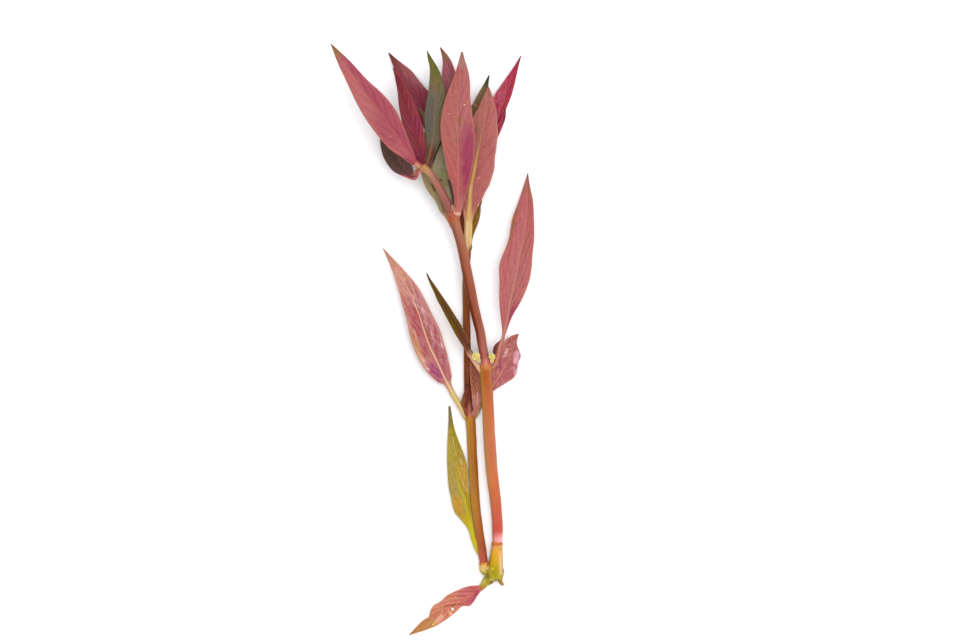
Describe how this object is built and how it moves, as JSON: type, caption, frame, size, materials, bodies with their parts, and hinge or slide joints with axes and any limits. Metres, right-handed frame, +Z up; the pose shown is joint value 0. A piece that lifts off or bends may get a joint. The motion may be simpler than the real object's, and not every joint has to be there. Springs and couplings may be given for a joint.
{
  "type": "alternanthera reineckii cutting",
  "caption": "Forked cutting of a red-leaved aquarium plant lying flat: two jointed stems from one base, lance-shaped leaves at their nodes and small flower heads.",
  "frame": {"origin": "middle of the cutting's outline seen from above, on the surface that it lies on", "axes": "+Z up from the surface, +Y along the cutting from its torn base to its shoot tips, +X to the right when seen from above"},
  "size_m": [0.0682, 0.1974, 0.0228],
  "materials": {
    "fork_base": "moist cut stem, yellow green",
    "front_stem": "satin, orange salmon",
    "back_stem": "satin, orange brown",
    "flower_head_left": "matt, cream yellow",
    "flower_head_right": "matt, cream yellow",
    "flower_bud": "matt, cream",
    "front_top_leaf_left": "satin, salmon pink with orange margins",
    "front_top_leaf_rear": "satin, dark maroon",
    "front_top_leaf_right": "satin, grey-green with a bright green tip",
    "front_top_leaf_curled": "matt, dark brown with a pink rim",
    "front_upper_leaf_right": "satin, rose and magenta",
    "front_upper_leaf_left": "satin, grey-green with brown spots",
    "front_middle_leaf_left": "matt, dark olive brown, folded",
    "front_middle_leaf_right": "satin, rose pink",
    "back_lower_leaf": "satin, olive yellow",
    "back_middle_leaf_left": "glossy, pale pink",
    "back_middle_leaf_right": "glossy, wrinkled pink",
    "back_axil_leaf_left": "satin, dark red brown",
    "back_axil_leaf_right": "satin, dusty purple",
    "back_upper_leaf_front": "satin, salmon with a thick pale midrib",
    "back_upper_leaf_rear": "satin, olive brown",
    "back_top_leaf_middle": "satin, mauve with a tan tip",
    "back_top_leaf_right": "satin, dark olive",
    "back_top_leaf_far_right": "satin, crimson",
    "back_top_leaf_left": "satin, purple red",
    "base_leaf": "satin, pink to orange tan"
  },
  "bodies": {
    "root": {"fork_base": "fork_base", "front_stem": "front_stem", "back_stem": "back_stem", "flower_head_left": "flower_head_left", "flower_head_right": "flower_head_right", "flower_bud": "flower_bud", "front_top_leaf_left": "front_top_leaf_left", "front_top_leaf_rear": "front_top_leaf_rear", "front_top_leaf_right": "front_top_leaf_right", "front_top_leaf_curled": "front_top_leaf_curled", "front_upper_leaf_right": "front_upper_leaf_right", "front_upper_leaf_left": "front_upper_leaf_left", "front_middle_leaf_left": "front_middle_leaf_left", "front_middle_leaf_right": "front_middle_leaf_right", "back_lower_leaf": "back_lower_leaf", "back_middle_leaf_left": "back_middle_leaf_left", "back_middle_leaf_right": "back_middle_leaf_right", "back_axil_leaf_left": "back_axil_leaf_left", "back_axil_leaf_right": "back_axil_leaf_right", "back_upper_leaf_front": "back_upper_leaf_front", "back_upper_leaf_rear": "back_upper_leaf_rear", "back_top_leaf_middle": "back_top_leaf_middle", "back_top_leaf_right": "back_top_leaf_right", "back_top_leaf_far_right": "back_top_leaf_far_right", "back_top_leaf_left": "back_top_leaf_left", "base_leaf": "base_leaf"}
  },
  "joints": []
}
